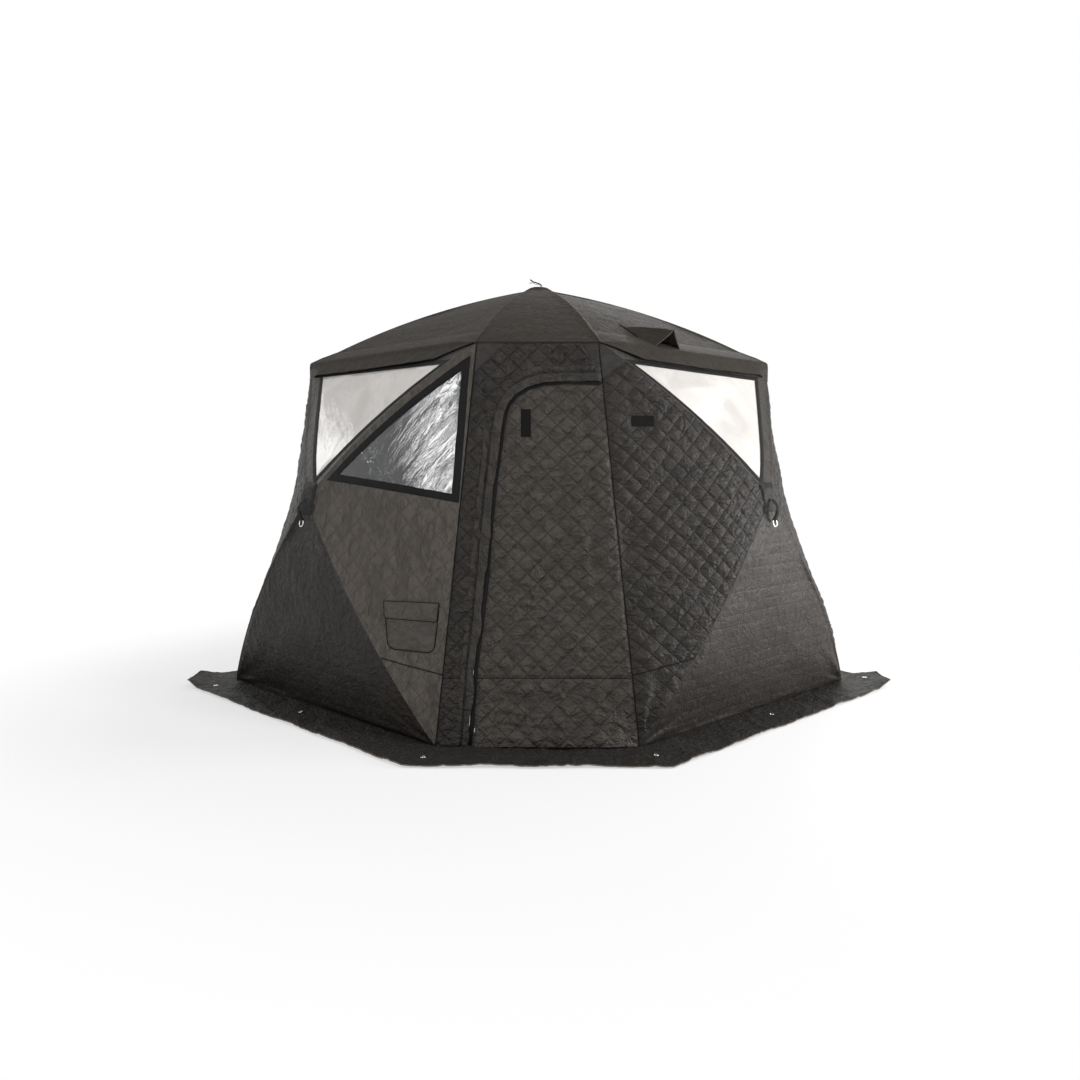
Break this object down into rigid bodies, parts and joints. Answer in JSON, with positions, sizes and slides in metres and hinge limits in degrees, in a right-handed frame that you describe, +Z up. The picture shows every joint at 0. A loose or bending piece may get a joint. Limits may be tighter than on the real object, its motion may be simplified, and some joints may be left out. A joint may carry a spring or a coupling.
{
  "type": "sauna tent",
  "caption": "Pop-up sauna tent with hub-and-pole walls and roof, hinged zip door, clear film windows, flue port, roof vent and ground skirt.",
  "frame": {"origin": "middle of the footprint, on the ground", "axes": "+X to the right as seen from the door, +Y from the door to the back corner, +Z up"},
  "size_m": [3.85, 3.5078, 2.2075],
  "materials": {
    "black_plastic": "satin",
    "black_webbing": "woven tape",
    "clear_film": "clear flexible film, glossy",
    "fibreglass_rod": "satin",
    "plain_fabric": "plain weave, matt",
    "plated_steel": "plated",
    "quilted_fabric": "diamond quilted, matt",
    "roof_fabric": "coated, matt"
  },
  "bodies": {
    "tent_base": {"ground_skirt": "plain_fabric", "seam_tapes": "black_webbing", "front_panel": "quilted_fabric", "storm_flap": "plain_fabric", "eave_valance": "roof_fabric"},
    "door": {"door_leaf": "quilted_fabric"},
    "zip_slider": {"door_zip_slider": "plated_steel"},
    "flue_flap": {"stove_flap": "plain_fabric"},
    "vent_hood": {"vent_hood": "plain_fabric"},
    "wall_fr_hub": {"wall_fr_hub": "black_plastic"},
    "wall_fr_strap": {"wall_fr_strap": "black_webbing"},
    "wall_fr_top_flap": {"wall_fr_panel_top": "quilted_fabric", "wall_fr_window_top": "clear_film", "wall_fr_poles_upper": "fibreglass_rod"},
    "wall_fr_bottom_flap": {"wall_fr_panel_bottom": "plain_fabric", "wall_fr_poles_lower": "fibreglass_rod"},
    "wall_fr_front_flap": {"wall_fr_panel_front": "quilted_fabric"},
    "wall_fr_rear_flap": {"wall_fr_panel_rear": "quilted_fabric"},
    "wall_br_hub": {"wall_br_hub": "black_plastic"},
    "wall_br_strap": {"wall_br_strap": "black_webbing"},
    "wall_br_top_flap": {"wall_br_panel_top": "quilted_fabric", "wall_br_window_top": "clear_film", "wall_br_poles_upper": "fibreglass_rod"},
    "wall_br_bottom_flap": {"wall_br_panel_bottom": "plain_fabric", "wall_br_poles_lower": "fibreglass_rod"},
    "wall_br_front_flap": {"wall_br_panel_front": "quilted_fabric", "wall_br_window_front": "clear_film"},
    "wall_br_rear_flap": {"wall_br_panel_rear": "quilted_fabric"},
    "wall_bl_hub": {"wall_bl_hub": "black_plastic"},
    "wall_bl_strap": {"wall_bl_strap": "black_webbing"},
    "wall_bl_top_flap": {"wall_bl_panel_top": "quilted_fabric", "wall_bl_poles_upper": "fibreglass_rod"},
    "wall_bl_bottom_flap": {"wall_bl_panel_bottom": "plain_fabric", "wall_bl_poles_lower": "fibreglass_rod"},
    "wall_bl_front_flap": {"wall_bl_panel_front": "quilted_fabric", "wall_bl_window_front": "clear_film"},
    "wall_bl_rear_flap": {"wall_bl_panel_rear": "quilted_fabric"},
    "wall_fl_hub": {"wall_fl_hub": "black_plastic"},
    "wall_fl_strap": {"wall_fl_strap": "black_webbing"},
    "wall_fl_top_flap": {"wall_fl_panel_top": "quilted_fabric", "wall_fl_window_top": "clear_film", "wall_fl_poles_upper": "fibreglass_rod"},
    "wall_fl_bottom_flap": {"wall_fl_panel_bottom": "plain_fabric", "wall_fl_poles_lower": "fibreglass_rod"},
    "wall_fl_front_flap": {"wall_fl_panel_front": "quilted_fabric", "wall_fl_window_front": "clear_film"},
    "wall_fl_rear_flap": {"wall_fl_panel_rear": "quilted_fabric"},
    "roof_hub": {"roof_hub": "black_plastic"},
    "roof_strap": {"roof_strap": "black_webbing"},
    "roof_front_flap": {"roof_panel_front": "roof_fabric", "roof_poles_front": "fibreglass_rod"},
    "roof_front_right_flap": {"roof_panel_front_right": "roof_fabric", "roof_pole_right": "fibreglass_rod"},
    "roof_back_right_flap": {"roof_panel_back_right": "roof_fabric", "roof_pole_back": "fibreglass_rod"},
    "roof_back_left_flap": {"roof_panel_back_left": "roof_fabric"},
    "roof_front_left_flap": {"roof_panel_front_left": "roof_fabric", "roof_pole_left": "fibreglass_rod"},
    "roof_vent": {"vent_screen": "black_webbing"},
    "wall_fl_port": {"stove_port": "plain_fabric"}
  },
  "joints": [
    {"name": "wall_fr_hub_pop", "type": "slide", "parent": "tent_base", "child": "wall_fr_hub", "axis": [-0.6951, 0.6951, -0.1836], "range_m": [0, 0.58]},
    {"name": "wall_fr_top_fold", "type": "hinge", "parent": "tent_base", "child": "wall_fr_top_flap", "pos_m": [0.755, -0.71392, 1.75], "axis": [0.7071, 0.7071, 0], "range_deg": [0, 41.62], "deforming": ["wall_fr_panel_top", "wall_fr_window_top", "wall_fr_poles_upper"]},
    {"name": "wall_fr_bottom_fold", "type": "hinge", "parent": "tent_base", "child": "wall_fr_bottom_flap", "pos_m": [1.0675, -0.86142, 0.0085], "axis": [-0.7071, -0.7071, 0], "range_deg": [0, 32.08], "deforming": ["wall_fr_panel_bottom", "wall_fr_poles_lower"]},
    {"name": "wall_fr_front_fold", "type": "hinge", "parent": "tent_base", "child": "wall_fr_front_flap", "pos_m": [0.3525, -1.34642, 0.87925], "axis": [-0.093, 0.1663, 0.9817], "range_deg": [0, 41.05], "deforming": ["wall_fr_panel_front"]},
    {"name": "wall_fr_rear_fold", "type": "hinge", "parent": "tent_base", "child": "wall_fr_rear_flap", "pos_m": [1.47, -0.22892, 0.87925], "axis": [0.2554, 0, -0.9668], "range_deg": [0, 41.62], "deforming": ["wall_fr_panel_rear"]},
    {"name": "wall_fr_strap_lift", "type": "hinge", "parent": "wall_fr_hub", "child": "wall_fr_strap", "pos_m": [1.1014, -0.98927, 1.04374], "axis": [-0.7071, -0.7071, 0], "range_deg": [0, 110]},
    {"name": "wall_br_hub_pop", "type": "slide", "parent": "tent_base", "child": "wall_br_hub", "axis": [-0.6951, -0.6951, -0.1836], "range_m": [0, 0.58]},
    {"name": "wall_br_top_fold", "type": "hinge", "parent": "tent_base", "child": "wall_br_top_flap", "pos_m": [0.62, 0.39108, 1.75], "axis": [-0.7071, 0.7071, 0], "range_deg": [0, 41.62], "deforming": ["wall_br_panel_top", "wall_br_window_top", "wall_br_poles_upper"]},
    {"name": "wall_br_bottom_fold", "type": "hinge", "parent": "tent_base", "child": "wall_br_bottom_flap", "pos_m": [0.85, 0.62108, 0.0085], "axis": [0.7071, -0.7071, 0], "range_deg": [0, 32.08], "deforming": ["wall_br_panel_bottom", "wall_br_poles_lower"]},
    {"name": "wall_br_front_fold", "type": "hinge", "parent": "tent_base", "child": "wall_br_front_flap", "pos_m": [1.47, -0.22892, 0.87925], "axis": [-0.2554, 0, 0.9668], "range_deg": [0, 32.34], "deforming": ["wall_br_panel_front", "wall_br_window_front"]},
    {"name": "wall_br_rear_fold", "type": "hinge", "parent": "tent_base", "child": "wall_br_rear_flap", "pos_m": [0, 1.24108, 0.87925], "axis": [0, 0.2554, -0.9668], "range_deg": [0, 32.34], "deforming": ["wall_br_panel_rear"]},
    {"name": "wall_br_strap_lift", "type": "hinge", "parent": "wall_br_hub", "child": "wall_br_strap", "pos_m": [0.93087, 0.70195, 1.04374], "axis": [0.7071, -0.7071, 0], "range_deg": [0, 110]},
    {"name": "wall_bl_hub_pop", "type": "slide", "parent": "tent_base", "child": "wall_bl_hub", "axis": [0.6951, -0.6951, -0.1836], "range_m": [0, 0.58]},
    {"name": "wall_bl_top_fold", "type": "hinge", "parent": "tent_base", "child": "wall_bl_top_flap", "pos_m": [-0.62, 0.39108, 1.75], "axis": [-0.7071, -0.7071, 0], "range_deg": [0, 41.62], "deforming": ["wall_bl_panel_top", "wall_bl_poles_upper"]},
    {"name": "wall_bl_bottom_fold", "type": "hinge", "parent": "tent_base", "child": "wall_bl_bottom_flap", "pos_m": [-0.85, 0.62108, 0.0085], "axis": [0.7071, 0.7071, 0], "range_deg": [0, 32.08], "deforming": ["wall_bl_panel_bottom", "wall_bl_poles_lower"]},
    {"name": "wall_bl_front_fold", "type": "hinge", "parent": "tent_base", "child": "wall_bl_front_flap", "pos_m": [-1.47, -0.22892, 0.87925], "axis": [-0.2554, 0, -0.9668], "range_deg": [0, 32.34], "deforming": ["wall_bl_panel_front", "wall_bl_window_front"]},
    {"name": "wall_bl_rear_fold", "type": "hinge", "parent": "tent_base", "child": "wall_bl_rear_flap", "pos_m": [0, 1.24108, 0.87925], "axis": [0, -0.2554, 0.9668], "range_deg": [0, 32.34], "deforming": ["wall_bl_panel_rear"]},
    {"name": "wall_bl_strap_lift", "type": "hinge", "parent": "wall_bl_hub", "child": "wall_bl_strap", "pos_m": [-0.93087, 0.70195, 1.04374], "axis": [0.7071, 0.7071, 0], "range_deg": [0, 110]},
    {"name": "wall_fl_hub_pop", "type": "slide", "parent": "tent_base", "child": "wall_fl_hub", "axis": [0.6951, 0.6951, -0.1836], "range_m": [0, 0.58]},
    {"name": "wall_fl_top_fold", "type": "hinge", "parent": "tent_base", "child": "wall_fl_top_flap", "pos_m": [-0.755, -0.71392, 1.75], "axis": [0.7071, -0.7071, 0], "range_deg": [0, 41.62], "deforming": ["wall_fl_panel_top", "wall_fl_window_top", "wall_fl_poles_upper"]},
    {"name": "wall_fl_bottom_fold", "type": "hinge", "parent": "tent_base", "child": "wall_fl_bottom_flap", "pos_m": [-1.0675, -0.86142, 0.0085], "axis": [-0.7071, 0.7071, 0], "range_deg": [0, 32.08], "deforming": ["wall_fl_panel_bottom", "wall_fl_poles_lower"]},
    {"name": "wall_fl_front_fold", "type": "hinge", "parent": "tent_base", "child": "wall_fl_front_flap", "pos_m": [-0.3525, -1.34642, 0.87925], "axis": [-0.093, -0.1663, -0.9817], "range_deg": [0, 41.05], "deforming": ["wall_fl_panel_front", "wall_fl_window_front"]},
    {"name": "wall_fl_rear_fold", "type": "hinge", "parent": "tent_base", "child": "wall_fl_rear_flap", "pos_m": [-1.47, -0.22892, 0.87925], "axis": [0.2554, 0, 0.9668], "range_deg": [0, 41.62], "deforming": ["wall_fl_panel_rear"]},
    {"name": "wall_fl_strap_lift", "type": "hinge", "parent": "wall_fl_hub", "child": "wall_fl_strap", "pos_m": [-1.1014, -0.98927, 1.04374], "axis": [-0.7071, 0.7071, 0], "range_deg": [0, 110]},
    {"name": "roof_hub_pop", "type": "slide", "parent": "tent_base", "child": "roof_hub", "axis": [0, 0, -1], "range_m": [0, 0.82]},
    {"name": "roof_strap_tilt", "type": "hinge", "parent": "roof_hub", "child": "roof_strap", "pos_m": [0, -0.22892, 2.1715], "axis": [1, 0, 0], "range_deg": [-60, 60]},
    {"name": "roof_front_fold", "type": "hinge", "parent": "tent_base", "child": "roof_front_flap", "pos_m": [0, -1.19892, 1.75], "axis": [-1, 0, 0], "range_deg": [0, 45.83], "deforming": ["roof_panel_front", "roof_poles_front"]},
    {"name": "roof_front_right_fold", "type": "hinge", "parent": "tent_base", "child": "roof_front_right_flap", "pos_m": [0.755, -0.71392, 1.75], "axis": [-0.7071, -0.7071, 0], "range_deg": [0, 50.12], "deforming": ["roof_panel_front_right", "roof_pole_right"]},
    {"name": "roof_back_right_fold", "type": "hinge", "parent": "tent_base", "child": "roof_back_right_flap", "pos_m": [0.62, 0.39108, 1.75], "axis": [0.7071, -0.7071, 0], "range_deg": [0, 50.12], "deforming": ["roof_panel_back_right", "roof_pole_back"]},
    {"name": "roof_back_left_fold", "type": "hinge", "parent": "tent_base", "child": "roof_back_left_flap", "pos_m": [-0.62, 0.39108, 1.75], "axis": [0.7071, 0.7071, 0], "range_deg": [0, 50.12], "deforming": ["roof_panel_back_left"]},
    {"name": "roof_front_left_fold", "type": "hinge", "parent": "tent_base", "child": "roof_front_left_flap", "pos_m": [-0.755, -0.71392, 1.75], "axis": [-0.7071, 0.7071, 0], "range_deg": [0, 50.12], "deforming": ["roof_panel_front_left", "roof_pole_left"]},
    {"name": "roof_vent_ride", "type": "slide", "parent": "roof_front_right_flap", "child": "roof_vent", "axis": [0.2995, -0.2995, 0.9059], "range_m": [0, 0.0398]},
    {"name": "vent_hood_tip", "type": "hinge", "parent": "roof_vent", "child": "vent_hood", "pos_m": [0.42596, -0.80209, 1.87778], "axis": [-0.7071, -0.7071, 0], "range_deg": [0, 35]},
    {"name": "wall_fl_port_ride", "type": "slide", "parent": "wall_fl_front_flap", "child": "wall_fl_port", "axis": [-0.401, -0.8962, 0.1898], "range_m": [0, 0.0092]},
    {"name": "flue_flap_lift", "type": "hinge", "parent": "wall_fl_port", "child": "flue_flap", "pos_m": [-0.55239, -1.35162, 0.60977], "axis": [-0.9628, 0.2701, 0.0026], "range_deg": [0, 70]},
    {"name": "door_swing", "type": "hinge", "parent": "tent_base", "child": "door", "pos_m": [0.3525, -1.34642, 0.87925], "axis": [0.093, -0.1663, -0.9817], "range_deg": [-135, 0]},
    {"name": "zip_run", "type": "slide", "parent": "door", "child": "zip_slider", "axis": [0.1024, 0.1661, 0.9808], "range_m": [0, 1.2]}
  ],
  "couplings": [
    {"joint": "wall_fr_top_fold", "follows": "wall_fr_hub_pop", "rad_per_m": 1.2525},
    {"joint": "wall_fr_bottom_fold", "follows": "wall_fr_hub_pop", "rad_per_m": 0.96539},
    {"joint": "wall_fr_front_fold", "follows": "wall_fr_hub_pop", "rad_per_m": 1.2352},
    {"joint": "wall_fr_rear_fold", "follows": "wall_fr_hub_pop", "rad_per_m": 1.2525},
    {"joint": "wall_br_top_fold", "follows": "wall_br_hub_pop", "rad_per_m": 1.2525},
    {"joint": "wall_br_bottom_fold", "follows": "wall_br_hub_pop", "rad_per_m": 0.96539},
    {"joint": "wall_br_front_fold", "follows": "wall_br_hub_pop", "rad_per_m": 0.97314},
    {"joint": "wall_br_rear_fold", "follows": "wall_br_hub_pop", "rad_per_m": 0.97314},
    {"joint": "wall_bl_top_fold", "follows": "wall_bl_hub_pop", "rad_per_m": 1.2525},
    {"joint": "wall_bl_bottom_fold", "follows": "wall_bl_hub_pop", "rad_per_m": 0.96539},
    {"joint": "wall_bl_front_fold", "follows": "wall_bl_hub_pop", "rad_per_m": 0.97314},
    {"joint": "wall_bl_rear_fold", "follows": "wall_bl_hub_pop", "rad_per_m": 0.97314},
    {"joint": "wall_fl_top_fold", "follows": "wall_fl_hub_pop", "rad_per_m": 1.2525},
    {"joint": "wall_fl_bottom_fold", "follows": "wall_fl_hub_pop", "rad_per_m": 0.96539},
    {"joint": "wall_fl_front_fold", "follows": "wall_fl_hub_pop", "rad_per_m": 1.2352},
    {"joint": "wall_fl_rear_fold", "follows": "wall_fl_hub_pop", "rad_per_m": 1.2525},
    {"joint": "roof_front_fold", "follows": "roof_hub_pop", "rad_per_m": 0.97538},
    {"joint": "roof_front_right_fold", "follows": "roof_hub_pop", "rad_per_m": 1.0668},
    {"joint": "roof_back_right_fold", "follows": "roof_hub_pop", "rad_per_m": 1.0668},
    {"joint": "roof_back_left_fold", "follows": "roof_hub_pop", "rad_per_m": 1.0668},
    {"joint": "roof_front_left_fold", "follows": "roof_hub_pop", "rad_per_m": 1.0668},
    {"joint": "roof_vent_ride", "follows": "roof_hub_pop", "ratio": 0.048537},
    {"joint": "wall_fl_port_ride", "follows": "wall_fl_hub_pop", "ratio": 0.015862}
  ]
}
